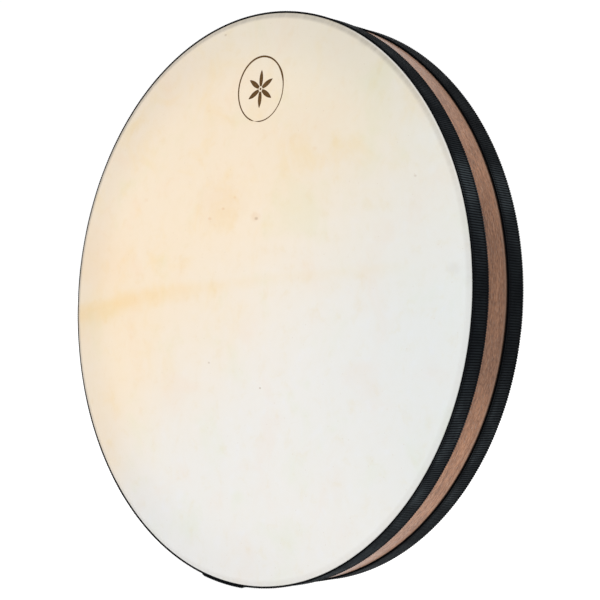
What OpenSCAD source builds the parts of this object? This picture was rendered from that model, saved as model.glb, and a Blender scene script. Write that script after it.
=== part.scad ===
// Bodhran: a shallow frame drum with one skin head, an open back and wooden crossbars.
// Millimetres. The drum stands on edge: its axis runs along Y, the head faces -Y and +Z is up.
// The origin is the middle of the crossing of the bars, where the hand holds the drum.
// Places around the hoop are clock angles: degrees clockwise from the top, seen from the
// head side. Places along the drum's axis are depths, counted backwards from the front edge
// of the front band.

/* [Shell] */
// Outside diameter of the bare wooden hoop
shell_d = 558.8; // [400:0.1:620]
// Depth from the front edge of the front band to the back edge of the hoop
shell_depth = 73; // [66:0.5:90]
// Thickness of the laminated core of the hoop
core_t = 6; // [4:0.5:9]
// Thickness of each face ply
face_ply_t = 1.5; // [0.8:0.1:2]
// Width of the glue seam where the two ends of a ply meet
seam_gap = 0.25; // [0.1:0.05:0.6]
// Slant of the glue seams across the hoop, in degrees
seam_slant = 30; // [0:5:45]

/* [Head] */
// Thickness of the skin
skin_t = 0.7; // [0.4:0.1:1.2]
// How far the tight skin stands in front of the front band
skin_rise = 1.6; // [0.8:0.1:3]
// Width of the sloping edge outside the flat of the skin
edge_w = 4.8; // [3:0.1:7]
// How far the skin's collar reaches down the side of the hoop
collar_depth = 18; // [12:1:20]

/* [Bands] */
// Width of the ribbed webbing
band_w = 21.4; // [15:0.1:24]
// Thickness of the ribbed webbing
band_t = 1.6; // [0.8:0.1:2.2]
// How far the rear band stops short of the back edge of the hoop
rear_band_inset = 1; // [0.2:0.1:3]
// Clock angle of the middle of the lap where each band's ends cross
lap_at = 180.5; // [0:0.5:359.5]
// Length of the lap, in degrees around the hoop
lap_span = 12; // [4:1:20]

/* [Staples] */
// Number of staples that hold the collar under the front band
staple_count = 36; // [12:1:60]
// Width of a staple's crown
staple_w = 10; // [6:1:12]
// Length of a staple's legs
staple_leg = 7; // [4:0.5:7]
// Thickness of the staple wire
staple_wire = 0.5; // [0.4:0.1:0.6]
// Width of the staple wire
staple_wire_w = 1; // [0.8:0.1:1.2]

/* [Crossbars] */
// Width of a crossbar, seen from behind
bar_w = 26; // [18:1:36]
// Thickness of a crossbar along the drum's axis
bar_t = 15; // [12:0.5:18]
// Radius of a crossbar's long edges
bar_round = 3.5; // [1:0.5:5]
// How far the crossbars lie in front of the back edge of the hoop
bar_inset = 3; // [1:0.5:6]

/* [Screws] */
// Diameter of a crossbar screw's shank
screw_d = 4; // [3:0.5:5]
// Diameter of a crossbar screw's head
screw_head_d = 8; // [6:0.5:9]
// Length of a crossbar screw
screw_len = 40; // [30:1:50]
// Distance between the two screws in one end of a crossbar
screw_pitch = 13; // [10:1:16]
// How far a screw's head lies below the surface it is driven into
screw_sink = 0.4; // [0.2:0.1:1]
// Length of the screw that locks the crossing
cross_screw_len = 13; // [9:1:14]

/* [Printed rosette] */
// Distance from the middle of the head to the middle of the rosette
print_at = 205.8; // [150:0.2:220]
// Outside radius of the ring around the rosette
print_r = 33; // [20:0.5:40]
// Width of the printed lines
print_line = 1.4; // [0.6:0.1:2]
// Thickness of the printed ink
print_t = 0.1; // [0.05:0.05:0.2]
// Length of each petal of the rosette
petal_len = 19; // [10:1:24]

/* [Hidden] */
$fn = 96;
EPS = 0.01;
BIG = 400;

// The hoop
shell_r = shell_d / 2;
core_r = shell_r - face_ply_t;
lining_r = core_r - core_t;
inner_r = lining_r - face_ply_t;
edge_break = 0.6;
crest_r = shell_r - edge_w;
crest_flat = 1;
inner_bevel = crest_r - crest_flat - inner_r;
crest_depth = skin_t - skin_rise;
shoulder_w = 0.8;
shoulder_depth = 0.4;
side_depth = 1.4;

// The skin over the hoop
collar_r = shell_r + skin_t;

// The bands
rear_band_depth = shell_depth - rear_band_inset - band_w;

// The crossbars
bar_back = shell_depth - bar_inset;
bar_front = bar_back - bar_t;
bar_mid = (bar_front + bar_back) / 2;

// The staples sit in the middle of the collar, flush with the skin
staple_depth = collar_depth * 0.6;
staple_out_r = collar_r - 0.05;

// The screws
screw_head_h = (screw_head_d - screw_d) / 2;
screw_rim_h = 0.3;
screw_point = 4;
screw_play = 0.1;
slot_w = 1;
slot_len = screw_head_d * 0.6;
slot_deep = 1.2;
cross_screw_scale = 0.85;

// The rosette
petals = 6;
petal_gap = 2.4;
print_dot_r = 1.3;

HIDE = "#eee3cd";
WALNUT = "#8c6652";
PLYWOOD = "#b98f6d";
WEBBING = "#1a1f21";
BAR_WOOD = "#a9805c";
STEEL = "#b9bbbd";
BRASS = "#b8944d";
INK = "#6b5232";

// Turns local Z into the drum's axis, so that depth runs along +Y and local -Y points up
module on_axis() {
    rotate([-90, 0, 0])
        translate([0, 0, -bar_mid])
            children();
}

// Points local +X outwards at a clock angle
module at_clock(angle) {
    rotate([0, 0, angle - 90])
        children();
}

// Section of the whole hoop: radius across, depth up, with the bearing edge at the low end
module hoop_section() {
    polygon([
        [inner_r, shell_depth - edge_break],
        [inner_r + edge_break, shell_depth],
        [shell_r - edge_break, shell_depth],
        [shell_r, shell_depth - edge_break],
        [shell_r, side_depth],
        [shell_r - shoulder_w, shoulder_depth],
        [crest_r, crest_depth],
        [crest_r - crest_flat, crest_depth],
        [inner_r, crest_depth + inner_bevel]
    ]);
}

// The slanted saw cut where the two ends of a ply meet
module ply_seam(angle) {
    at_clock(angle)
        translate([shell_r, 0, shell_depth / 2])
            rotate([seam_slant, 0, 0])
                cube([2 * shell_r - 2 * inner_r, seam_gap, BIG], center = true);
}

// One ply of the hoop, between two radii
module ply(from_r, to_r, seam_at) {
    difference() {
        on_axis()
            difference() {
                rotate_extrude()
                    intersection() {
                        hoop_section();
                        translate([from_r, -shell_depth])
                            square([to_r - from_r, 3 * shell_depth]);
                    }
                ply_seam(seam_at);
            }
        screw_places()
            screw_bore();
        on_axis()
            staple_ring();
    }
}

module shell_outer_ply() {
    color(WALNUT)
        ply(core_r, shell_r, lap_at);
}

module shell_core() {
    color(PLYWOOD)
        ply(lining_r, core_r, lap_at - 32);
}

module shell_inner_ply() {
    color(BAR_WOOD)
        ply(inner_r, lining_r, lap_at + 28);
}

// The skin: flat in front, sloping over the bearing edge and down the side of the hoop
module drum_head() {
    color(HIDE)
        difference() {
            on_axis()
                rotate_extrude()
                    polygon([
                        [0, -skin_rise],
                        [crest_r + skin_t / 5, -skin_rise],
                        [shell_r - shoulder_w + skin_t / 2, shoulder_depth - skin_t * 0.8],
                        [collar_r, side_depth - skin_t / 3],
                        [collar_r, collar_depth],
                        [shell_r, collar_depth],
                        [shell_r, side_depth],
                        [shell_r - shoulder_w, shoulder_depth],
                        [crest_r, crest_depth],
                        [0, crest_depth]
                    ]);
            on_axis()
                staple_ring();
        }
}

// One staple, with its crown across the collar and its legs in the hoop
module staple() {
    leg_out = staple_w / 2 - staple_wire_w / 2;
    translate([staple_out_r - staple_wire / 2, 0, staple_depth])
        cube([staple_wire, staple_w, staple_wire_w], center = true);
    for (side = [-1, 1])
        translate([staple_out_r - staple_leg / 2, side * leg_out, staple_depth])
            cube([staple_leg, staple_wire_w, staple_wire_w], center = true);
}

module staple_ring() {
    for (i = [0 : staple_count - 1])
        at_clock((i + 0.5) * 360 / staple_count)
            staple();
}

module head_staples() {
    color(STEEL)
        on_axis()
            staple_ring();
}

// A petal: the lens between two circles that pass through the middle of the rosette
module petal() {
    intersection() {
        rotate(60)
            translate([petal_len, 0])
                circle(petal_len);
        rotate(-60)
            translate([petal_len, 0])
                circle(petal_len);
    }
}

// A plain ring around a six-petalled rosette, printed on the upper part of the skin
module head_print() {
    color(INK)
        on_axis()
            at_clock(0)
                translate([print_at, 0, -skin_rise - print_t])
                    linear_extrude(print_t) {
                        difference() {
                            circle(print_r);
                            circle(print_r - print_line);
                        }
                        difference() {
                            for (i = [0 : petals - 1])
                                rotate(i * 360 / petals)
                                    petal();
                            circle(petal_gap);
                        }
                        circle(print_dot_r);
                    }
}

// Ribbed webbing: one turn around the hoop, with a second layer where its ends cross
module webbing(inside_r, from_depth) {
    on_axis()
        translate([0, 0, from_depth]) {
            rotate_extrude()
                translate([inside_r, 0])
                    square([band_t, band_w]);
            at_clock(lap_at - lap_span / 2)
                rotate_extrude(angle = lap_span)
                    translate([inside_r + band_t - EPS, 0])
                        square([band_t, band_w]);
        }
}

module front_band() {
    color(WEBBING)
        webbing(collar_r, 0);
}

module rear_band() {
    color(WEBBING)
        webbing(shell_r, rear_band_depth);
}

// Rectangle with round corners
module round_rect(w, h, r) {
    square([w - 2 * r, h], center = true);
    square([w, h - 2 * r], center = true);
    for (x = [-1, 1], y = [-1, 1])
        translate([x * (w / 2 - r), y * (h / 2 - r)])
            circle(r);
}

// A bar right across the hoop, with its ends shaped to the inside of the hoop
module whole_bar(angle) {
    intersection() {
        at_clock(angle)
            translate([0, 0, bar_mid])
                rotate([90, 0, 90])
                    linear_extrude(2 * BIG, center = true)
                        round_rect(bar_w, bar_t, bar_round);
        cylinder(h = shell_depth, r = inner_r);
    }
}

// The square block where the bars cross, between two depths
module crossing(from_depth, to_depth) {
    translate([-bar_w / 2, -bar_w / 2, from_depth])
        cube([bar_w, bar_w, to_depth - from_depth]);
}

// A bar with half of its thickness taken out where the other bar crosses it
module lapped_bar(angle, keep_from, keep_to, cut_from, cut_to) {
    difference() {
        on_axis() {
            difference() {
                whole_bar(angle);
                crossing(cut_from, cut_to);
            }
            intersection() {
                whole_bar(angle + 90);
                crossing(keep_from, keep_to);
            }
        }
        screw_places()
            screw_bore();
        crossing_place()
            cross_screw_bore();
    }
}

module crossbar_upright() {
    color(BAR_WOOD)
        lapped_bar(0, bar_mid, bar_back + EPS, bar_front - EPS, bar_mid);
}

module crossbar_level() {
    color(BAR_WOOD)
        lapped_bar(90, bar_front - EPS, bar_mid, bar_mid, bar_back + EPS);
}

// Two screws through the hoop into each end of each bar, with local +X out of the hoop
module screw_places() {
    on_axis()
        for (angle = [0 : 90 : 270], side = [-1, 1])
            at_clock(angle)
                translate([shell_r - screw_sink, side * screw_pitch / 2, bar_mid])
                    children();
}

// A countersunk screw along -X, with the top of its head at the origin
module screw(length, play) {
    rotate([0, -90, 0]) {
        cylinder(h = screw_rim_h, r = screw_head_d / 2 + play);
        translate([0, 0, screw_rim_h])
            cylinder(h = screw_head_h, r1 = screw_head_d / 2 + play, r2 = screw_d / 2 + play);
        translate([0, 0, screw_rim_h])
            cylinder(h = length - screw_rim_h - screw_point, r = screw_d / 2 + play);
        translate([0, 0, length - screw_point])
            cylinder(h = screw_point, r1 = screw_d / 2 + play, r2 = screw_d / 8 + play);
    }
}

// The cross-shaped recess for the driver
module driver_recess() {
    for (turn = [0, 90])
        rotate([turn, 0, 0])
            cube([2 * slot_deep, slot_len, slot_w], center = true);
}

// The hole for a crossbar screw, open to the outside of the hoop
module screw_bore() {
    screw(screw_len, screw_play);
    rotate([0, 90, 0])
        cylinder(h = 2, r = screw_head_d / 2 + screw_play);
}

module crossbar_screws() {
    color(STEEL)
        screw_places()
            difference() {
                screw(screw_len, 0);
                driver_recess();
            }
}

// The place of the screw that is driven into the crossing from behind
module crossing_place() {
    on_axis()
        translate([0, 0, bar_back - screw_sink])
            rotate([0, -90, 0])
                children();
}

module cross_screw_bore() {
    scale(cross_screw_scale)
        screw(cross_screw_len / cross_screw_scale, screw_play);
    rotate([0, 90, 0])
        cylinder(h = 2, r = cross_screw_scale * (screw_head_d / 2 + screw_play));
}

module crossing_screw() {
    color(BRASS)
        crossing_place()
            scale(cross_screw_scale)
                difference() {
                    screw(cross_screw_len / cross_screw_scale, 0);
                    driver_recess();
                }
}

shell_outer_ply();
shell_core();
shell_inner_ply();
drum_head();
head_staples();
head_print();
front_band();
rear_band();
crossbar_upright();
crossbar_level();
crossbar_screws();
crossing_screw();
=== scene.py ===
import math

import bpy
import numpy as np
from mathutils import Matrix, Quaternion, Vector, noise


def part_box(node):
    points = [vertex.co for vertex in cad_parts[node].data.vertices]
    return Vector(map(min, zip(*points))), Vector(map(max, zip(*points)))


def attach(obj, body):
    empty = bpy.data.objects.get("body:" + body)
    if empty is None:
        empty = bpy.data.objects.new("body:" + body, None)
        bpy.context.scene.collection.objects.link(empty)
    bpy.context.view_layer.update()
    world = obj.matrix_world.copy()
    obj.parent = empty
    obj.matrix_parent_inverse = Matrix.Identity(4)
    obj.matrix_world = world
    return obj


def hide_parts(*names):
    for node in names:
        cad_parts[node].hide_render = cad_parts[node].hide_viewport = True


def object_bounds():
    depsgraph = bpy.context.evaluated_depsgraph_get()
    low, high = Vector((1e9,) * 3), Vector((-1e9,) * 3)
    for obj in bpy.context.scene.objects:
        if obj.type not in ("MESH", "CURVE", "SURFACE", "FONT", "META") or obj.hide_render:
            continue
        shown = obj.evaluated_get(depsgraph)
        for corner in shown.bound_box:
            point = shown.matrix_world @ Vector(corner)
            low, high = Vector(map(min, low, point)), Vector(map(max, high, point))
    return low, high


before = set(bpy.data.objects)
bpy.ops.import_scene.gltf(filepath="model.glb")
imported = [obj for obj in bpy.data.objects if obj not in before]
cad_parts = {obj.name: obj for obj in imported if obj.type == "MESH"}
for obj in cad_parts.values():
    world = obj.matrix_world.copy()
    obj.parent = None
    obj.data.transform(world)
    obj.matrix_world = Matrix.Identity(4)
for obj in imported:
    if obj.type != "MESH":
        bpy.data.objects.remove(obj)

cad_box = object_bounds()
MM = 0.001


# ---------------------------------------------------------------- places, from the frame

def ring(node):
    """The least and the greatest distance of a node's points from the drum's axis."""
    reach = [math.hypot(v.co.x, v.co.z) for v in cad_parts[node].data.vertices]
    return min(reach), max(reach)


def span_y(node):
    """Where a node starts and ends along the drum's axis, from the head backwards."""
    low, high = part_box(node)
    return low.y, high.y


SHELL_R = ring("shell_outer_ply")[1]
CORE_R = ring("shell_core")[1]
INNER_R, LINING_R = ring("shell_inner_ply")
HOOP_BACK = span_y("shell_core")[1]
HEAD_FRONT, COLLAR_END = span_y("drum_head")
COLLAR_R = ring("drum_head")[1]
FRONT_BAND = span_y("front_band")
REAR_BAND = span_y("rear_band")
BARE_FROM, BARE_TO = FRONT_BAND[1], REAR_BAND[0]   # the hoop's face shows between the bands
BAND_T = (ring("front_band")[1] - COLLAR_R) / 2    # at its lap the band lies on itself
HEAD_MIDDLE = Vector((0.0, HEAD_FRONT, 0.0))
PRINT_LOW, PRINT_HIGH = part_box("head_print")
PRINT_AT = Vector(((PRINT_LOW.x + PRINT_HIGH.x) / 2, (PRINT_LOW.z + PRINT_HIGH.z) / 2))
PRINT_R = (PRINT_HIGH.x - PRINT_LOW.x) / 2

SKIN_T = COLLAR_R - SHELL_R
EDGE_W = 4.8 * MM            # the sloping edge outside the flat of the skin
CREST_R = SHELL_R - EDGE_W
LAP_AT = 180.5               # clock angle of the middle of each band's lap
LAP_SPAN = 12                # degrees
RIB_PITCH = 2.38 * MM
YARN_PITCH = 0.62 * MM
LAYER_T = 1.2 * MM           # one layer of the laminated core
HIDE_TURN = 1.6              # degrees that the hide's own pattern is turned against the rosette
LIGHT_LEVEL = 1.25           # how bright the scene's light makes a white surface that faces it


# ---------------------------------------------------------------- mesh helpers

def make_piece(name, points, faces, material, smooth_angle=40):
    """A mesh object with smooth shading that stays sharp across steep edges."""
    mesh = bpy.data.meshes.new(name)
    mesh.from_pydata([tuple(p) for p in points], [], faces)
    mesh.validate()
    mesh.shade_smooth()
    mesh.set_sharp_from_angle(angle=math.radians(smooth_angle))
    mesh.materials.append(material)
    piece = bpy.data.objects.new(name, mesh)
    bpy.context.scene.collection.objects.link(piece)
    return piece


def store(piece, name, values):
    """Keeps a vector for each of a piece's points, for its material to read."""
    layer = piece.data.attributes.new(name, "FLOAT_VECTOR", "POINT")
    layer.data.foreach_set("vector", np.asarray(values, np.float32).ravel())


def clock_point(radius, clock, y):
    """A point at a clock angle in degrees, clockwise from the top seen from the head side."""
    a = math.radians(clock)
    return (radius * math.sin(a), y, radius * math.cos(a))


def loop_faces(rows, row_size, closed):
    """Quads between rings of points, row after row; each row is a closed loop."""
    faces = []
    for i in range(rows if closed else rows - 1):
        j = (i + 1) % rows
        for k in range(row_size):
            m = (k + 1) % row_size
            faces.append((i * row_size + k, i * row_size + m, j * row_size + m, j * row_size + k))
    return faces


def end_faces(rows, row_size):
    """The two faces that close an open run of rings."""
    return [tuple(range(row_size)), tuple(reversed(range((rows - 1) * row_size, rows * row_size)))]


def arc(centre, radius, start, end, steps):
    """Points on an arc in a section plane, angles in degrees."""
    out = []
    for i in range(steps + 1):
        a = math.radians(start + (end - start) * i / steps)
        out.append((centre[0] + radius * math.cos(a), centre[1] + radius * math.sin(a)))
    return out


def bell(away, spread):
    """A smooth bump: 1 at no distance away, and nearly 0 beyond twice the spread."""
    return math.exp(-(away / spread) ** 2)


# ---------------------------------------------------------------- material helpers

class Shader:
    """A material built from nodes, with one Principled shader."""

    def __init__(self, name):
        self.material = bpy.data.materials.new(name)
        self.material.use_nodes = True
        self.tree = self.material.node_tree
        self.surface = self.tree.nodes["Principled BSDF"]

    def node(self, kind, *links, **settings):
        made = self.tree.nodes.new("ShaderNode" + kind)
        for key, value in settings.items():
            setattr(made, key, value)
        for i, value in enumerate(links):
            self.put(made.inputs[i], value)
        return made

    def put(self, socket, value):
        if value is None:
            return
        if isinstance(value, bpy.types.NodeSocket):
            self.tree.links.new(value, socket)
        elif isinstance(value, bpy.types.Node):
            self.tree.links.new(value.outputs[0], socket)
        else:
            socket.default_value = value

    def set(self, **inputs):
        for key, value in inputs.items():
            self.put(self.surface.inputs[key.replace("_", " ")], value)

    def math(self, operation, a, b=None):
        return self.node("Math", a, b, operation=operation).outputs[0]

    def plus(self, a, b):
        return self.math("ADD", a, b)

    def minus(self, a, b):
        return self.math("SUBTRACT", a, b)

    def times(self, a, b):
        return self.math("MULTIPLY", a, b)

    def sway(self, value, size):
        """A noise value turned into one that swings about 0."""
        return self.times(self.minus(value, 0.5), size)

    def vector(self, operation, a, b=None):
        return self.node("VectorMath", a, b, operation=operation).outputs[0]

    def length(self, vector):
        return self.node("VectorMath", vector, operation="LENGTH").outputs["Value"]

    def place(self):
        """The point's own place on the object, in metres."""
        return self.node("TexCoord").outputs["Object"]

    def stored(self, name):
        return self.node("Attribute", attribute_name=name).outputs["Vector"]

    def split(self, vector):
        made = self.node("SeparateXYZ", vector)
        return made.outputs[0], made.outputs[1], made.outputs[2]

    def join(self, x, y, z):
        return self.node("CombineXYZ", x, y, z).outputs[0]

    def noise(self, vector, scale, detail=4.0, roughness=0.5, distortion=0.0):
        made = self.node("TexNoise")
        self.put(made.inputs["Vector"], vector)
        self.put(made.inputs["Scale"], scale)
        self.put(made.inputs["Detail"], detail)
        self.put(made.inputs["Roughness"], roughness)
        self.put(made.inputs["Distortion"], distortion)
        return made.outputs["Fac"]

    def ramp(self, value, low, high, to_low=0.0, to_high=1.0, smooth=True):
        """From to_low where the value is low to to_high where it is high, and no further."""
        made = self.node("MapRange")
        made.interpolation_type = "SMOOTHSTEP" if smooth else "LINEAR"
        for key, v in zip(("Value", "From Min", "From Max", "To Min", "To Max"),
                          (value, low, high, to_low, to_high)):
            self.put(made.inputs[key], v)
        return made.outputs["Result"]

    def mix(self, share, a, b, blend="MIX"):
        made = self.node("Mix", data_type="RGBA", blend_type=blend)
        self.put(made.inputs[0], share)
        self.put(made.inputs[6], a)
        self.put(made.inputs[7], b)
        return made.outputs[2]

    def tinted(self, share, colour, tint):
        """A colour multiplied by a tint, as far as the share says."""
        return self.mix(share, colour, self.mix(1.0, colour, tint + (1.0,), "MULTIPLY"))

    def bump(self, height, strength, distance, normal=None):
        made = self.node("Bump")
        self.put(made.inputs["Height"], height)
        self.put(made.inputs["Strength"], strength)
        self.put(made.inputs["Distance"], distance)
        self.put(made.inputs["Normal"], normal)
        return made.outputs["Normal"]


def srgb(r, g, b):
    """A colour given as it shows on screen, from 0 to 255, in this scene's light."""
    def linear(c):
        c /= 255
        return (c / 12.92 if c <= 0.04045 else ((c + 0.055) / 1.055) ** 2.4) / LIGHT_LEVEL
    return (linear(r), linear(g), linear(b), 1.0)


def deeper(colour, share):
    """A colour at a share of its brightness."""
    return tuple(c * share for c in colour[:3]) + (1.0,)


# ---------------------------------------------------------------- the hide's material

COOL_CREAM, WARM_CREAM = srgb(241, 239, 235), srgb(253, 233, 205)
MOTTLE_DARK, MOTTLE_PALE = srgb(214, 202, 172), srgb(255, 254, 250)
FLECK, FIBRE, HAIR_ROOT = srgb(222, 196, 158), srgb(216, 196, 164), srgb(190, 158, 118)
MARK_DARK, MARK_AMBER, MARK_GREY = srgb(150, 108, 64), srgb(228, 176, 118), srgb(184, 176, 160)
# The rim's grey edge, partly painted shade, and its painted highlight
EDGE_GREY_AND_SHADE, RIM_HIGHLIGHT = srgb(164, 157, 146), srgb(238, 236, 233)
FLESH, FLESH_DARK, FLESH_PALE = srgb(226, 200, 160), srgb(176, 142, 100), srgb(255, 244, 222)

# What the ground colour is multiplied by, in places
DUSKY_TOP = (0.935, 0.94, 0.955)
COOL_CORNER = (1.003, 1.040, 1.065)
PEACH = (1.0, 0.955, 0.905)
PALE_GREY = (0.90, 0.945, 0.975)
AMBER_CLOUD = (1.0, 0.955, 0.825)
PINK_CLOUD = (1.005, 0.968, 0.945)
OLIVE_CLOUD = (0.965, 0.990, 0.935)
AMBER_SPECK = (0.985, 0.960, 0.900)
BLUE_SPECK = (1.0, 1.010, 1.040)
SPINE_GLOW = (0.99, 0.93, 0.80)
SPINE_STREAK = (1.0, 0.915, 0.725)
# Painted shade towards the rim
RIM_SHADE_TINT = (0.905, 0.92, 0.95)

SPINE_SLOPE, SPINE_Z = 0.163, 0.0157     # the spine's rise to the right, and its height in the middle

# The animal's own marks: colour, x and z of the middle, size, and how strongly it shows
HIDE_MARKS = (
    (MARK_AMBER, 0.0050, 0.0805, 0.0062, 0.16), (MARK_DARK, 0.0065, 0.0785, 0.0020, 0.36),
    (MARK_DARK, 0.0355, -0.085, 0.0012, 0.60), (MARK_DARK, -0.043, -0.070, 0.0014, 0.34),
    (MARK_DARK, -0.066, 0.262, 0.0018, 0.30), (MARK_DARK, 0.205, 0.125, 0.0014, 0.25),
    (MARK_AMBER, -0.044, 0.086, 0.0022, 0.34), (MARK_AMBER, -0.063, 0.075, 0.0024, 0.30),
    (MARK_AMBER, 0.078, 0.148, 0.0030, 0.12), (MARK_AMBER, -0.080, 0.185, 0.0026, 0.14),
    (MARK_AMBER, -0.028, 0.098, 0.0020, 0.22), (MARK_AMBER, -0.170, 0.090, 0.0034, 0.12),
    (MARK_AMBER, -0.050, 0.092, 0.0340, 0.075), (MARK_GREY, 0.258, 0.048, 0.0075, 0.13),
    (MARK_GREY, 0.127, 0.245, 0.0060, 0.16),
)


def hide_ground(s, flat, x, z):
    """The broad colours: warm on the upper left, cool on the lower right, greyer on the right."""
    drift = s.sway(s.noise(flat, 7.0, 3.0), 0.08)
    upper_left = s.plus(s.times(x, -0.58), s.times(z, 0.81))
    upper_left = s.plus(upper_left, s.ramp(x, -0.08, -0.24, 0.0, 0.095))
    warm = s.ramp(s.plus(upper_left, drift), -0.135, 0.110)
    colour = s.mix(warm, COOL_CREAM, WARM_CREAM)
    colour = s.tinted(s.ramp(z, 0.06, 0.27), colour, DUSKY_TOP)
    upper_right = s.plus(s.times(x, 0.3), z)
    colour = s.tinted(s.ramp(upper_right, 0.17, 0.25), colour, COOL_CORNER)
    above_spine = s.times(s.ramp(z, -0.03, 0.01), s.ramp(z, 0.075, 0.025))
    above_spine = s.times(above_spine, s.ramp(x, -0.16, -0.225))
    colour = s.tinted(above_spine, colour, PEACH)
    right = s.plus(s.times(x, 0.85), s.times(z, 0.35))
    grey = s.ramp(s.plus(right, drift), 0.0, 0.23)
    return s.tinted(grey, colour, PALE_GREY), warm


def hide_patches(s, flat, colour, warm):
    """Cloudy patches: amber ones in the warm part, pink and olive ones everywhere."""
    clouds = s.noise(flat, 19.0, 5.0, 0.62, 0.6)
    others = s.noise(s.vector("ADD", flat, (4.0, 0.0, 7.0)), 15.0, 4.0, 0.6, 0.4)
    specks = s.noise(flat, 55.0, 4.0, 0.65, 0.3)
    amber = s.times(s.ramp(clouds, 0.48, 0.74), s.ramp(warm, 0.2, 0.9))
    colour = s.tinted(amber, colour, AMBER_CLOUD)
    colour = s.tinted(s.ramp(others, 0.52, 0.72), colour, PINK_CLOUD)
    colour = s.tinted(s.ramp(others, 0.48, 0.29), colour, OLIVE_CLOUD)
    colour = s.tinted(s.ramp(specks, 0.52, 0.74), colour, AMBER_SPECK)
    return s.tinted(s.ramp(specks, 0.48, 0.28), colour, BLUE_SPECK)


def hide_spine(s, flat, x, z, colour):
    """The spine: a soft amber streak that rises to the right, where it thins to a faint line."""
    wander = s.sway(s.noise(flat, 9.0, 2.0), 0.010)
    ragged = s.sway(s.noise(flat, 55.0, 4.0), 0.012)
    line = s.plus(s.times(x, SPINE_SLOPE), SPINE_Z)
    drop = s.ramp(x, -0.14, -0.28, 0.0, -0.013, smooth=False)
    off = s.minus(z, s.plus(line, drop))
    off = s.plus(off, s.plus(wander, ragged))
    off = s.math("DIVIDE", off, s.ramp(x, 0.06, -0.27, 1.0, 2.1))
    streak = s.times(s.ramp(off, 0.0065, -0.0005), s.ramp(off, -0.0115, -0.001))
    strength = s.ramp(x, 0.03, -0.19, 0.24, 0.90, smooth=False)
    strength = s.times(strength, s.ramp(x, 0.235, 0.16))
    strength = s.times(strength, s.ramp(s.noise(flat, 26.0, 3.0), 0.30, 0.60, 0.55, 1.0))
    glow = s.times(s.ramp(off, 0.016, 0.0), s.ramp(off, -0.034, -0.006))
    glow = s.times(glow, s.ramp(x, -0.10, -0.27, 0.0, 0.40))
    colour = s.tinted(glow, colour, SPINE_GLOW)
    return s.tinted(s.times(streak, strength), colour, SPINE_STREAK)


def hide_flecks(s, flat, x, z, colour, fine):
    """Fine mottling, faint fibres along the back and scattered hair roots."""
    colour = s.mix(0.09, colour, s.mix(fine, MOTTLE_DARK, MOTTLE_PALE))
    drawn = s.join(s.times(x, 0.35), 0.0, s.plus(z, s.times(x, -0.17)))
    fibre = s.noise(drawn, 210.0, 3.0, 0.6)
    colour = s.mix(s.ramp(fine, 0.60, 0.80, 0.0, 0.10), colour, FLECK)
    colour = s.mix(s.ramp(fibre, 0.60, 0.80, 0.0, 0.09), colour, FIBRE)
    cells = s.node("TexVoronoi", feature="F1")
    s.put(cells.inputs["Vector"], flat)
    s.put(cells.inputs["Scale"], 260.0)
    chosen = s.split(cells.outputs["Color"])[0]
    root = s.times(s.ramp(cells.outputs["Distance"], 0.20, 0.08), s.ramp(chosen, 0.93, 0.96))
    return s.mix(s.times(root, 0.22), colour, HAIR_ROOT)


def hide_marks(s, flat, colour, fine):
    """A few dark specks, soft amber freckles and two faint grey patches."""
    for mark, x, z, size, depth in HIDE_MARKS:
        near = s.vector("MULTIPLY", s.vector("SUBTRACT", flat, (x, 0.0, z)), (0.62, 1.0, 1.0))
        away = s.plus(s.length(near), s.sway(fine, size))
        colour = s.mix(s.ramp(away, size, size * 0.25, 0.0, depth), colour, mark)
    return colour


def hide_rim(s, flat, colour):
    """Towards the rim the skin is a little darker, and greyest where it is drawn over the edge: painted
    shade, strongest on the upper left and weakest where the rim faces right, with a painted highlight on
    the fold at the upper right.
    """
    reach = s.length(flat)
    outwards = s.vector("NORMALIZE", flat)
    round_x, _, round_z = s.split(outwards)
    # Which way the rim faces: the painted shade is strongest where it faces up and to the left
    turned = s.minus(s.times(round_z, 0.60), s.times(round_x, 0.45))
    turned = s.plus(turned, s.sway(s.noise(outwards, 3.2, 3.0, 0.6), 0.7))
    lit = s.minus(s.times(round_x, 0.98), s.times(round_z, 0.17))
    rim_shade = s.times(s.ramp(reach, 0.205, CREST_R), s.ramp(turned, -0.75, 0.0, 0.45, 1.0))
    rim_shade = s.times(rim_shade, s.ramp(lit, 0.90, 0.25))
    colour = s.tinted(rim_shade, colour, RIM_SHADE_TINT)
    # The sloping edge is greyer where the skin is drawn over it, broken by the pleats, with painted shade
    # making it greyest on the upper left
    pleats = s.noise(outwards, 62.0, 3.0, 0.7)
    edge = s.ramp(reach, CREST_R - 1.4 * MM, CREST_R + 2.4 * MM)
    edge = s.times(edge, s.ramp(turned, -0.45, 0.45, 0.14, 0.58))
    edge = s.times(edge, s.ramp(pleats, 0.3, 0.7, 0.70, 1.20, smooth=False))
    colour = s.mix(edge, colour, EDGE_GREY_AND_SHADE)
    # Painted highlight: at the upper right the fold that dips under the band catches the light
    fold = s.times(s.ramp(reach, COLLAR_R - 1.7 * MM, COLLAR_R - 0.7 * MM, 0.0, 0.55),
                   s.ramp(s.plus(round_x, round_z), 1.26, 1.37))
    return s.mix(fold, colour, RIM_HIGHLIGHT)


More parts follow.
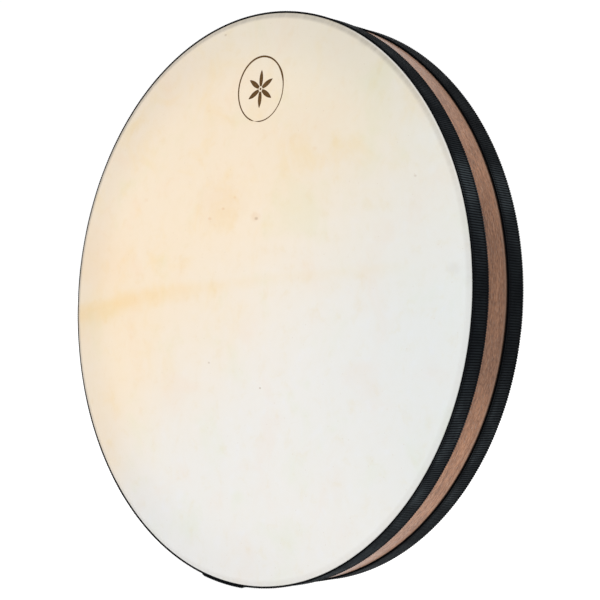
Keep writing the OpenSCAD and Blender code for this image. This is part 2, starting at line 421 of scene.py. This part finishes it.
def hide_material(inside=False):
    """Goatskin, with its grain side out and its rougher flesh side towards the crossbars."""
    s = Shader("goatskin_inside" if inside else "goatskin")
    place = s.place()
    turned = s.node("VectorRotate", place, None, (0.0, 1.0, 0.0), -math.radians(HIDE_TURN))
    x, _, z = s.split(turned)
    flat = s.join(x, 0.0, z)
    fine = s.noise(flat, 95.0, 5.0, 0.65)
    colour, warm = hide_ground(s, flat, x, z)
    colour = hide_patches(s, flat, colour, warm)
    colour = hide_spine(s, flat, x, z, colour)
    colour = hide_flecks(s, flat, x, z, colour, fine)
    colour = hide_marks(s, flat, colour, fine)
    colour = hide_rim(s, flat, colour)
    if inside:
        flesh = s.noise(flat, 42.0, 6.0, 0.7)
        colour = s.mix(0.45, colour, FLESH)
        colour = s.mix(0.22, colour, s.mix(flesh, FLESH_DARK, FLESH_PALE))
    grain = s.noise(place, 700.0 if inside else 1400.0, 4.0, 0.6)
    folds = s.noise(flat, 120.0, 4.0, 0.6)
    normal = s.bump(folds, 0.10, 0.6 * MM, s.bump(grain, 0.5 if inside else 0.16, 0.2 * MM))
    s.set(Base_Color=colour, Roughness=s.ramp(fine, 0.2, 0.8, 0.46, 0.62), Normal=normal)
    s.set(Specular_IOR_Level=0.32)
    return s.material


# ---------------------------------------------------------------- the webbing's material

# Painted shade for the grooves, and the ribs in painted shade and painted highlight
GROOVE_SHADE, RIB_SHADED, RIB_LIT = srgb(2, 3, 5), srgb(33, 40, 45), srgb(74, 83, 88)
YARN_DARK, CORD_DARK, PATCH_DARK, DUST = srgb(8, 10, 13), srgb(6, 8, 11), srgb(7, 9, 13), srgb(50, 60, 64)
REAR_SHADE = (0.75, 0.75, 0.75)


def webbing_material():
    """Black ribbed webbing: fine twisted yarn over its ribs, with painted shade darkest in the grooves.
    """
    s = Shader("ribbed_webbing")
    along, across, crown = s.split(s.stored("weave"))
    flat = s.join(along, across, 0.0)
    twist = s.plus(across, s.times(along, 0.45))
    yarn = s.math("SINE", s.times(twist, 2 * math.pi / YARN_PITCH))
    cord = s.math("SINE", s.times(across, 2 * math.pi / (3.2 * YARN_PITCH)))
    patch = s.noise(flat, 24.0, 4.0, 0.6)
    dust = s.noise(flat, 900.0, 3.0, 0.7)
    # Painted light: the ribs get painted highlights above and below the middle of the drum, and painted
    # shade on the rear band
    _, depth, height = s.split(s.place())
    upper = s.times(s.ramp(height, 0.04, 0.10), s.ramp(height, 0.18, 0.10))
    lit = s.plus(upper, s.ramp(height, -0.045, -0.10))
    raised = s.mix(lit, RIB_SHADED, RIB_LIT)
    raised = s.tinted(s.ramp(depth, BARE_FROM, BARE_TO), raised, REAR_SHADE)
    # Painted shade in the grooves between the ribs
    colour = s.mix(s.ramp(crown, 0.60, 1.0), GROOVE_SHADE, raised)
    colour = s.mix(s.ramp(yarn, -1.0, 1.0, 0.0, 0.40), colour, YARN_DARK)
    colour = s.mix(s.ramp(cord, 0.2, 1.0, 0.0, 0.30), colour, CORD_DARK)
    colour = s.mix(s.ramp(dust, 0.62, 0.80, 0.0, 0.20), colour, DUST)
    colour = s.mix(s.ramp(patch, 0.36, 0.60, 0.0, 0.60), colour, PATCH_DARK)
    normal = s.bump(dust, 0.3, 0.1 * MM, s.bump(yarn, 0.5, 0.12 * MM))
    s.set(Base_Color=colour, Roughness=s.ramp(patch, 0.3, 0.7, 0.50, 0.66), Normal=normal)
    s.set(Specular_IOR_Level=0.025)
    return s.material


# ---------------------------------------------------------------- the woods' materials

# The pale, middle and dark colour of each wood
WALNUT = srgb(208, 149, 110), srgb(162, 111, 77), srgb(102, 62, 39)
CORE_WOOD = srgb(206, 172, 134), srgb(184, 146, 108), srgb(140, 102, 70)
LINING_WOOD = srgb(178, 132, 96), srgb(150, 106, 74), srgb(108, 70, 46)
BAR_WOOD = srgb(172, 120, 84), srgb(142, 94, 64), srgb(96, 58, 38)
# A pale fleck, the paler strip at the face's front and the painted sheen near the rear band
WOOD_FLECK, PALE_STRIP_WOOD, REAR_SHEEN_GREY = srgb(188, 164, 146), srgb(212, 192, 179), srgb(172, 140, 122)
# The painted sheen at the bottom and the painted shadow beside the rear band
BOTTOM_SHEEN_GREY, BAND_SHADOW_DARK = srgb(172, 158, 152), srgb(20, 16, 15)
WOOD_SHADE = (0.58, 0.55, 0.52)


def grain_place(s, axes):
    """The place along the grain, across it and into the wood: as stored, or along the given axes."""
    if not axes:
        return s.split(s.stored("grain"))
    place = dict(zip("xyz", s.split(s.place())))
    return [place[axis] for axis in axes]


def wood_grain(s, along, across, deep, colours, pore_depth):
    """Bands, streaks, fine grain, dark pores and pale flecks, all drawn out along the grain."""
    pale, mid, dark = colours

    def drawn_out(lengthwise, crosswise):
        return s.join(s.times(along, lengthwise), s.times(across, crosswise), s.times(deep, crosswise))

    bend = s.sway(s.noise(s.join(along, across, deep), 5.0, 2.0), 2.6)
    bands = s.noise(s.vector("ADD", drawn_out(5.0, 75.0), s.join(0.0, bend, 0.0)), 1.0, 5.0, 0.6, 0.4)
    streaks = s.noise(drawn_out(32.0, 450.0), 1.0, 3.0, 0.6)
    fine = s.noise(drawn_out(230.0, 1050.0), 1.0, 4.0, 0.75)
    pores = s.noise(drawn_out(210.0, 1200.0), 1.0, 2.0, 0.5)
    colour = s.mix(s.ramp(bands, 0.32, 0.50, 0.78, 1.0), dark, mid)
    colour = s.mix(s.ramp(bands, 0.50, 0.70, 0.0, 0.28), colour, pale)
    colour = s.mix(s.ramp(streaks, 0.50, 0.66, 0.0, 0.36), colour, dark)
    colour = s.mix(s.ramp(streaks, 0.47, 0.32, 0.0, 0.36), colour, pale)
    colour = s.mix(s.ramp(fine, 0.50, 0.64, 0.0, 0.70), colour, dark)
    colour = s.mix(s.ramp(fine, 0.47, 0.36, 0.0, 0.70), colour, pale)
    colour = s.mix(s.ramp(pores, 0.58, 0.70, 0.0, pore_depth), colour, deeper(dark, 0.35))
    colour = s.mix(s.ramp(pores, 0.43, 0.33, 0.0, 0.42), colour, WOOD_FLECK)
    return colour, streaks, fine, pores


def core_layers(s, deep, colour, dark):
    """The core's layers: every other one darker, with a thin glue line between them."""
    stripe = s.math("FRACT", s.math("DIVIDE", deep, LAYER_T))
    glue = s.ramp(s.math("ABSOLUTE", s.minus(stripe, 0.5)), 0.0, 0.09, 0.55, 0.0)
    turn = s.ramp(s.math("FRACT", s.math("DIVIDE", deep, 2 * LAYER_T)), 0.49, 0.51, 0.0, 0.30)
    colour = s.mix(turn, colour, dark)
    return s.mix(glue, colour, deeper(dark, 0.3))


def bare_face(s, across, streaks, colour):
    """The face between the bands: paler at its front, with a painted sheen and a painted shadow near its
    back, painted shade halfway up and a painted sheen at the bottom.
    """
    height = s.split(s.place())[2]
    # A paler strip at its front, next to the front band
    paler = s.times(s.ramp(across, BARE_FROM + 2.5 * MM, BARE_FROM + 1.2 * MM, 0.0, 0.85),
                   s.ramp(streaks, 0.35, 0.55, 0.7, 1.0))
    colour = s.mix(paler, colour, PALE_STRIP_WOOD)
    # Painted sheen: greyer before the rear band, standing in for the coat's reflection
    rear_sheen = s.ramp(across, BARE_TO - 5.0 * MM, BARE_TO - 2.4 * MM, 0.0, 0.55)
    colour = s.mix(rear_sheen, colour, REAR_SHEEN_GREY)
    shaded = s.times(s.ramp(height, -0.13, -0.03), s.ramp(height, 0.16, 0.05, 0.5, 1.0))
    colour = s.tinted(shaded, colour, WOOD_SHADE)
    # Painted sheen: paler and greyer at the bottom, where the light grazes the wood
    colour = s.mix(s.ramp(height, -0.245, -0.262, 0.0, 0.55), colour, BOTTOM_SHEEN_GREY)
    # Painted shadow: dark where the rear band stands over the face
    band_shadow = s.ramp(across, BARE_TO - 2.4 * MM, BARE_TO - 0.5 * MM, 0.0, 0.95)
    return s.mix(band_shadow, colour, BAND_SHADOW_DARK)


def wood_material(name, colours, gloss, pore_depth, layers=False, bare=False, axes=None):
    """Oiled wood. Gloss is the roughness of its smoothest grain."""
    s = Shader(name)
    along, across, deep = grain_place(s, axes)
    colour, streaks, fine, pores = wood_grain(s, along, across, deep, colours, pore_depth)
    if layers:
        colour = core_layers(s, deep, colour, colours[2])
    if bare:
        colour = bare_face(s, across, streaks, colour)
    normal = s.bump(fine, 0.15, 0.15 * MM, s.bump(pores, 0.25, 0.2 * MM))
    s.set(Base_Color=colour, Roughness=s.ramp(fine, 0.3, 0.7, gloss, gloss + 0.14), Normal=normal)
    s.set(Specular_IOR_Level=0.10, Coat_Weight=0.4, Coat_Roughness=0.25)
    return s.material


# ---------------------------------------------------------------- metal and ink

ZINC, BRASS = srgb(190, 190, 192), srgb(196, 160, 92)
INK, INK_THIN, INK_WORN = srgb(90, 63, 30), srgb(160, 126, 82), srgb(128, 94, 54)


def metal_material(name, colour, roughness):
    """Plated metal with a little wear."""
    s = Shader(name)
    place = s.place()
    wear = s.noise(place, 420.0, 4.0, 0.6)
    tint = s.mix(s.ramp(wear, 0.35, 0.75), deeper(colour, 0.7), colour)
    s.set(Base_Color=tint, Roughness=s.ramp(wear, 0.3, 0.7, roughness, roughness + 0.2))
    s.set(Normal=s.bump(s.noise(place, 1800.0, 3.0), 0.15, 0.1 * MM), Metallic=1.0)
    return s.material


def ink_material():
    """Brown printing ink, thinner in places so that the hide shows through a little."""
    s = Shader("brown_ink")
    place = s.place()
    thin = s.noise(place, 700.0, 4.0, 0.65)
    paler = s.noise(place, 90.0, 3.0)
    colour = s.mix(s.ramp(thin, 0.45, 0.78, 0.0, 0.50), INK, INK_THIN)
    colour = s.mix(s.ramp(paler, 0.50, 0.78, 0.0, 0.30), colour, INK_WORN)
    s.set(Base_Color=colour, Roughness=0.7, Normal=s.bump(thin, 0.2, 0.1 * MM), Specular_IOR_Level=0.1)
    return s.material


# ---------------------------------------------------------------- the head

HEAD_SEGMENTS = 720
PUCKER_FROM = CREST_R - 14 * MM
PUCKER_H = 0.10 * MM


def pucker(radius, clock):
    """How far the drawn skin lies behind its plane: fine radial folds that die out inwards."""
    share = max(0.0, min(1.0, (radius - PUCKER_FROM) / (CREST_R - PUCKER_FROM)))
    a = math.radians(clock)
    here = Vector((math.sin(a), math.cos(a), 0.0))
    folds = noise.noise(here * 34.0) + 0.6 * noise.noise(here * 78.0 + Vector((0, 0, 5.0)))
    where = 0.35 + 0.65 * max(0.0, noise.noise(here * 2.2 + Vector((3.0, 0, 0))) + 0.4)
    return PUCKER_H * share * share * folds * where


def skin_section():
    """The front of the skin from the middle to the end of its collar, as (radius, y)."""
    dip, fall = 0.19, 0.36       # where the slope starts, in mm behind the flat, and how steep it is
    bend_r = 1.3 * MM
    flat = [(r * MM, HEAD_FRONT) for r in (30, 60, 90, 120, 150, 180, 210, 235, 250)]
    drawn = [(CREST_R - d * MM, HEAD_FRONT) for d in (14, 11, 8.5, 6.5, 5, 3.5, 2.5, 1.6, 0.8)]
    crest = [(CREST_R, HEAD_FRONT + 0.03 * MM), (CREST_R + 0.7 * MM, HEAD_FRONT + dip * MM)]
    slope = [(CREST_R + d * MM, HEAD_FRONT + (dip + fall * (d - 0.7)) * MM) for d in (1.6, 2.6, 3.6)]
    turn = arc((COLLAR_R - bend_r, HEAD_FRONT + 2.65 * MM), bend_r, -64, 0, 6)
    side = [(COLLAR_R, HEAD_FRONT + d * MM) for d in (4.5, 8, 13)] + [(COLLAR_R, COLLAR_END)]
    return flat + drawn + crest + slope + turn + side


def skin_back(front):
    """The same section a skin's thickness further in, from its end back to the middle."""
    back = []
    for i, (r, y) in enumerate(front):
        ahead = front[min(i + 1, len(front) - 1)]
        behind = front[max(i - 1, 0)]
        along = Vector((ahead[0] - behind[0], ahead[1] - behind[1])).normalized()
        back.append((r - along.y * SKIN_T, y + along.x * SKIN_T))
    return back[::-1]


def build_head():
    """The skin: flat, puckered towards its edge, and turned down the side of the hoop as a collar."""
    front = skin_section()
    section = front + skin_back(front)
    size, last = len(section), len(section) - 1
    points = []
    for k in range(HEAD_SEGMENTS):
        clock = 360 * k / HEAD_SEGMENTS
        for r, y in section:
            points.append(clock_point(r, clock, y + pucker(min(r, CREST_R), clock)))
    # Each section is open at the middle of the head, where two fans of triangles close it
    faces = [f for f in loop_faces(HEAD_SEGMENTS, size, True)
             if not (f[0] % size == last and f[1] % size == 0)]
    middle_front, middle_back = len(points), len(points) + 1
    points += [(0, HEAD_FRONT, 0), (0, HEAD_FRONT + SKIN_T, 0)]
    for k in range(HEAD_SEGMENTS):
        j = (k + 1) % HEAD_SEGMENTS
        faces.append((k * size, j * size, middle_front))
        faces.append((j * size + last, k * size + last, middle_back))
    piece = make_piece("goatskin_head", points, faces, MAT["hide"])
    piece.data.materials.append(MAT["hide_inside"])

    def is_inside(v):
        return v == middle_back or v < middle_front and v % size >= len(front)

    for face in piece.data.polygons:
        if all(is_inside(v) for v in face.vertices):
            face.material_index = 1
    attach(piece, "root")
    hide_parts("drum_head")


# ---------------------------------------------------------------- the print

INK_T = (0.07 * MM, 0.02 * MM)      # how far the ink stands before the skin, and reaches into it
LINE_W = 1.5 * MM
LINE_R = PRINT_R - 0.95 * MM        # to the middle of the ring's line
LINE_STEPS = 192
PRESS_W = 0.45 * MM                 # how much wider the ring's line is on its most pressed side
PRESSED_AT = 320                    # clock angle where the ring is pressed hardest
BLOT_AT, BLOT_SPAN, BLOT_W = 64, 14.0, 0.9 * MM      # a short blot in its line
WORN_AT, WORN_SPAN, WORN_SHARE = 189, 7.0, 0.82      # where it is nearly worn through
PETALS = 6
PETAL = 19 * MM                     # length of a petal, and radius of its two sides
PETAL_STEPS = 24
DOT_HOLE, DOT_R = 0.1 * MM, 1.3 * MM


def ink_strip(points, faces, inner, outer, closed):
    """Adds a flat strip of ink between two outlines on the head, given from the mark's middle."""
    start, n = len(points), len(inner)
    y0, y1 = HEAD_FRONT - INK_T[0], HEAD_FRONT + INK_T[1]
    for (ax, az), (bx, bz) in zip(inner, outer):
        for px, pz, y in ((ax, az, y0), (bx, bz, y0), (bx, bz, y1), (ax, az, y1)):
            points.append((PRINT_AT.x + px, y, PRINT_AT.y + pz))
    for f in loop_faces(n, 4, closed):
        faces.append(tuple(start + v for v in f))
    if not closed:
        faces.append((start, start + 1, start + 2, start + 3))
        end = start + 4 * (n - 1)
        faces.append((end + 3, end + 2, end + 1, end))


def line_width(a):
    """The width of the ring's line at an angle in radians: uneven, with a blot and a worn place."""
    clock = math.degrees(a)
    rough = 0.10 * MM * noise.noise(Vector((math.sin(a), math.cos(a), 1.0)) * 9)
    paler = 1.0 - WORN_SHARE * bell(clock - WORN_AT, WORN_SPAN)
    blot = BLOT_W * bell(clock - BLOT_AT, BLOT_SPAN)
    return (LINE_W + PRESS_W * math.cos(a - math.radians(PRESSED_AT)) + blot + rough) * paler


def petal_sides(a):
    """The two sides of a petal that points along an angle in radians."""
    left, right = [], []
    tip = PETAL * math.cos(math.radians(30))
    for i in range(PETAL_STEPS + 1):
        r = PETAL * (0.14 + 0.85 * i / PETAL_STEPS)
        half = max(0.02 * MM, math.sqrt(PETAL ** 2 - (r - PETAL / 2) ** 2) - tip)
        left.append((r * math.sin(a) - half * math.cos(a), r * math.cos(a) + half * math.sin(a)))
        right.append((r * math.sin(a) + half * math.cos(a), r * math.cos(a) - half * math.sin(a)))
    return left, right


def outline(angles, radii):
    """Points around the mark's middle, each at an angle in radians and a radius."""
    return [(r * math.sin(a), r * math.cos(a)) for a, r in zip(angles, radii)]


def build_print():
    """A plain ring around a six-petalled rosette, as a thin layer of ink on the skin."""
    points, faces = [], []
    turn = [2 * math.pi * i / LINE_STEPS for i in range(LINE_STEPS)]
    half = [line_width(a) / 2 for a in turn]
    inner, outer = outline(turn, [LINE_R - h for h in half]), outline(turn, [LINE_R + h for h in half])
    ink_strip(points, faces, inner, outer, True)
    for k in range(PETALS):
        left, right = petal_sides(2 * math.pi * k / PETALS)
        ink_strip(points, faces, left, right, False)
    dot = turn[::4]
    inner, outer = outline(dot, [DOT_HOLE] * len(dot)), outline(dot, [DOT_R] * len(dot))
    ink_strip(points, faces, inner, outer, True)
    piece = make_piece("printed_rosette", points, faces, MAT["ink"])
    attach(piece, "root")
    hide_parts("head_print")


# ---------------------------------------------------------------- the bands

RIB_SAMPLES = 6
CROWN_H = 0.55 * MM          # how far a rib stands above the groove beside it
CORD_H = 0.32 * MM           # how much more a rib stands at the cord in each selvage
BAND_MARGIN = 0.27 * MM      # kept free at each side for the loops of the weft
LOOP_W = 0.25 * MM
SWAY_W = 0.12 * MM
EDGE_R = 0.3 * MM            # rounding of the selvages
CORD_IN, CORD_W = 0.45 * MM, 0.5 * MM        # place and spread of the cord, from the selvage
STITCH_IN, STITCH_W = 1.9 * MM, 0.45 * MM    # place and spread of the line pulled in beside it
SELVAGE = [0.0, 0.08 * MM, 0.3 * MM, 1.4 * MM, 1.9 * MM, 2.4 * MM]
CLIMB_FROM, CLIMB_SPAN = 1.3, 1.4    # degrees before the lap and over which the band climbs
CUT_SPAN = 0.9                       # degrees over which the cut end is pressed down
# Where the front band is thicker: clock angle, spread in degrees and height
SWELLS = ((222, 24, 0.7 * MM), (318, 16, 0.25 * MM))


def band_height(edge, crown, rounded, stitched):
    """How far the webbing's face stands above its underside, at a distance from the nearer selvage."""
    corded = CORD_H * bell(edge - CORD_IN, CORD_W) * crown
    base = (BAND_T - CROWN_H) * (0.9 + 0.1 * rounded)
    return base + CROWN_H * crown * (0.92 + 0.08 * rounded) * stitched + corded


def build_band(name, node, inside_r, span, seed, swells=()):
    """Ribbed webbing: a strip that goes once round the hoop and laps over its own start."""
    start_clock = LAP_AT - LAP_SPAN / 2
    total = 360 + LAP_SPAN
    mid_r = inside_r + BAND_T / 2
    ribs = round(math.radians(total) * mid_r / RIB_PITCH)
    rows = ribs * RIB_SAMPLES + 1
    width = span[1] - span[0]
    # Across the outside of the strip, from its front selvage to its back selvage
    across = SELVAGE + [width * t for t in (0.28, 0.5, 0.72)] + [width - d for d in reversed(SELVAGE)]
    across = [a / width for a in across]
    underside = (0.995, 0.66, 0.33, 0.005)
    points, weave = [], []
    for i in range(rows):
        turn = total * i / (rows - 1)
        clock = start_clock + turn
        phase = (i % RIB_SAMPLES) / RIB_SAMPLES
        crown = math.sqrt(max(0.0, 1 - (2 * phase - 1) ** 2)) if phase else 0.0
        climb = max(0.0, min(1.0, (turn - 360 + CLIMB_FROM) / CLIMB_SPAN))
        under_r = inside_r + BAND_T * climb * climb * (3 - 2 * climb)
        cut = min(1.0, (total - turn) / CUT_SPAN)
        pressed = 0.35 + 0.65 * cut * (2 - cut)
        swollen = sum(high * bell(clock - at, spread) for at, spread, high in swells)
        a = math.radians(clock)
        sway = SWAY_W * noise.noise(Vector((math.sin(a) * 9, math.cos(a) * 9, seed)))
        arc_at = math.radians(turn) * mid_r

        def place_y(s):
            return span[0] + BAND_MARGIN + s * (width - 2 * BAND_MARGIN) + sway

        for s in across:
            edge = min(s, 1 - s) * width
            rounded = math.sqrt(max(0.0, 1 - (1 - min(1.0, edge / EDGE_R)) ** 2))
            stitched = 1.0 - 0.45 * bell(edge - STITCH_IN, STITCH_W)
            h = band_height(edge, crown, rounded, stitched) * pressed + swollen
            loop = LOOP_W * crown * (min(1.0, s * 12) - min(1.0, (1 - s) * 12))
            points.append(clock_point(under_r + h, clock, place_y(s) + loop))
            weave.append((arc_at, s * width, crown * stitched * (0.3 + 0.7 * rounded)))
        for s in underside:
            points.append(clock_point(under_r, clock, place_y(s)))
            weave.append((arc_at, s * width, 0.0))
    size = len(across) + len(underside)
    faces = loop_faces(rows, size, False) + end_faces(rows, size)
    piece = make_piece(name, points, faces, MAT["webbing"], smooth_angle=62)
    store(piece, "weave", weave)
    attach(piece, "root")
    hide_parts(node)


# ---------------------------------------------------------------- the hoop

PLY_ROWS = 481
SEAM_GAP = 0.12 * MM
SEAM_SLANT = math.tan(math.radians(30))
OUTER_BREAK, HIDDEN_BREAK = 0.6 * MM, 0.06 * MM      # rounding of a ply's free and glued edges
CORNER_STEPS = 4


def bearing_edge():
    """The front of the bare hoop from its inside to its outside, as (radius, y)."""
    crest = HEAD_FRONT + SKIN_T
    crest_inside = CREST_R - 1 * MM
    return [
        (INNER_R, crest + crest_inside - INNER_R), (crest_inside, crest), (CREST_R, crest),
        (SHELL_R - 0.8 * MM, FRONT_BAND[0] + 0.4 * MM), (SHELL_R, FRONT_BAND[0] + 1.4 * MM),
    ]


def front_between(inner, outer):
    """The part of the bearing edge between two radii."""
    edge = bearing_edge()
    radii, places = [e[0] for e in edge], [e[1] for e in edge]
    first, last = [(r, float(np.interp(r, radii, places))) for r in (inner, outer)]
    return [first] + [e for e in edge if inner + 0.01 * MM < e[0] < outer - 0.01 * MM] + [last]


def ply_section(inner, outer):
    """A ply's outline as (radius, y): its front, its outside, its back and its inside."""
    front = front_between(inner, outer)
    inside_front, outside_front, back = front[0][1], front[-1][1], HOOP_BACK
    out_r = OUTER_BREAK if outer > CORE_R else HIDDEN_BREAK
    in_r = OUTER_BREAK if inner < LINING_R else HIDDEN_BREAK
    outside = [(outer, outside_front + (back - outside_front) * t) for t in (0.25, 0.5, 0.75)]
    inside = [(inner, inside_front + (back - inside_front) * t) for t in (0.75, 0.5, 0.25)]
    return (
        front + outside
        + arc((outer - out_r, back - out_r), out_r, 0, 90, CORNER_STEPS)
        + arc((inner + in_r, back - in_r), in_r, 90, 180, CORNER_STEPS)
        + inside
    )


def build_ply(name, node, inner, outer, seam_at, material):
    """One ply of the hoop, bent round to a thin slanting glue seam."""
    section = ply_section(inner, outer)
    middle = (front_between(inner, outer)[-1][1] + HOOP_BACK) / 2
    points, grain = [], []
    for i in range(PLY_ROWS):
        share = i / (PLY_ROWS - 1)
        open_by = math.degrees(SEAM_GAP / outer) * (0.5 - share) * 2
        for r, y in section:
            lean = math.degrees((y - middle) * SEAM_SLANT / outer)
            points.append(clock_point(r, seam_at + 360 * share + lean + open_by, y))
            grain.append((2 * math.pi * share * outer, y, r))
    faces = loop_faces(PLY_ROWS, len(section), False) + end_faces(PLY_ROWS, len(section))
    piece = make_piece(name, points, faces, material, smooth_angle=35)
    store(piece, "grain", grain)
    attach(piece, "root")
    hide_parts(node)


def dress(node, material):
    """A CAD part that keeps its shape gets a new material."""
    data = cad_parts[node].data
    data.materials.clear()
    data.materials.append(material)


# ---------------------------------------------------------------- stage

WHITE = (1.0, 1.0, 1.0, 1.0)
FLOOR_GREY = (0.25, 0.25, 0.25, 1.0)
FLOOR_GLOW = 0.98            # the floor is mostly self-lit, so that it stays as white as the world
WORLD_GLOW = 1.03
FLOOR_REACH = 12.0
FLOOR_DROP = 1.0 * MM        # how far the floor lies below the drum

# Each light's name, place, size of its square and power
LIGHTS = (("key", (1.3, -3.6, 0.6), 1.8, 13.0), ("top", (1.6, -0.3, 3.2), 0.7, 14.0))

CAMERA_AZIMUTH, CAMERA_ELEVATION, CAMERA_LEAN = 45.21, 0.49, 4.53    # degrees
CAMERA_AT = Vector((0.9621, -0.8774, 0.0130))                        # from the middle of the head
CAMERA_LENS, CAMERA_SENSOR = 79.23, 36.0                             # mm


def build_floor():
    """A plain pale floor just under the drum."""
    s = Shader("pale_floor")
    s.set(Base_Color=FLOOR_GREY, Roughness=0.9, Specular_IOR_Level=0.0)
    s.set(Emission_Color=WHITE, Emission_Strength=FLOOR_GLOW)
    reach, z = FLOOR_REACH, cad_box[0].z - FLOOR_DROP
    corners = [(-reach, -reach, z), (reach, -reach, z), (reach, reach, z), (-reach, reach, z)]
    floor = make_piece("floor", corners, [(0, 1, 2, 3)], s.material)


def build_world():
    """Even white light from all round, shown without a tone curve."""
    world = bpy.data.worlds.new("white")
    bpy.context.scene.world = world
    world.use_nodes = True
    background = world.node_tree.nodes["Background"]
    background.inputs["Color"].default_value = WHITE
    background.inputs["Strength"].default_value = WORLD_GLOW
    bpy.context.scene.view_settings.view_transform = "Standard"
    bpy.context.scene.view_settings.look = "None"


def area_light(name, place, size, power):
    """A square soft light that faces the crossing of the bars."""
    data = bpy.data.lights.new(name, "AREA")
    data.shape, data.size, data.size_y = "RECTANGLE", size, size
    data.energy = power
    light = bpy.data.objects.new(name, data)
    light.location = place
    light.rotation_euler = (-Vector(place)).to_track_quat("-Z", "Y").to_euler()
    bpy.context.scene.collection.objects.link(light)


def build_camera():
    """Three quarters from the head side, level with the middle, leaning a little."""
    azimuth, elevation = math.radians(CAMERA_AZIMUTH), math.radians(CAMERA_ELEVATION)
    data = bpy.data.cameras.new("camera")
    data.sensor_width, data.lens = CAMERA_SENSOR, CAMERA_LENS
    camera = bpy.data.objects.new("camera", data)
    look = Vector((-math.sin(azimuth) * math.cos(elevation), math.cos(azimuth) * math.cos(elevation),
                   -math.sin(elevation)))
    lean = Quaternion((0, 0, 1), math.radians(CAMERA_LEAN))
    camera.location = HEAD_MIDDLE + CAMERA_AT
    camera.rotation_mode = "QUATERNION"
    camera.rotation_quaternion = look.to_track_quat("-Z", "Y") @ lean
    bpy.context.scene.collection.objects.link(camera)
    bpy.context.scene.camera = camera


# ---------------------------------------------------------------- make everything

build_camera()
build_floor()
build_world()
for light in LIGHTS:
    area_light(*light)

MAT = {
    "hide": hide_material(),
    "hide_inside": hide_material(inside=True),
    "webbing": webbing_material(),
    "walnut": wood_material("walnut_face", WALNUT, 0.36, 0.42, bare=True),
    "core": wood_material("laminated_core", CORE_WOOD, 0.5, 0.25, layers=True),
    "lining": wood_material("lining_ply", LINING_WOOD, 0.45, 0.4),
    "upright_bar": wood_material("upright_bar_wood", BAR_WOOD, 0.38, 0.55, axes="zxy"),
    "level_bar": wood_material("level_bar_wood", BAR_WOOD, 0.38, 0.55, axes="xzy"),
    "steel": metal_material("zinc_steel", ZINC, 0.32),
    "brass": metal_material("dull_brass", BRASS, 0.35),
    "ink": ink_material(),
}

build_head()
build_print()
build_band("front_webbing", "front_band", COLLAR_R, FRONT_BAND, 1.0, SWELLS)
build_band("rear_webbing", "rear_band", SHELL_R, REAR_BAND, 7.0)
build_ply("outer_ply", "shell_outer_ply", CORE_R, SHELL_R, LAP_AT, MAT["walnut"])
build_ply("hoop_core", "shell_core", LINING_R, CORE_R, LAP_AT - 32, MAT["core"])
build_ply("inner_ply", "shell_inner_ply", INNER_R, LINING_R, LAP_AT + 28, MAT["lining"])
dress("crossbar_upright", MAT["upright_bar"])
dress("crossbar_level", MAT["level_bar"])
dress("crossbar_screws", MAT["steel"])
dress("head_staples", MAT["steel"])
dress("crossing_screw", MAT["brass"])
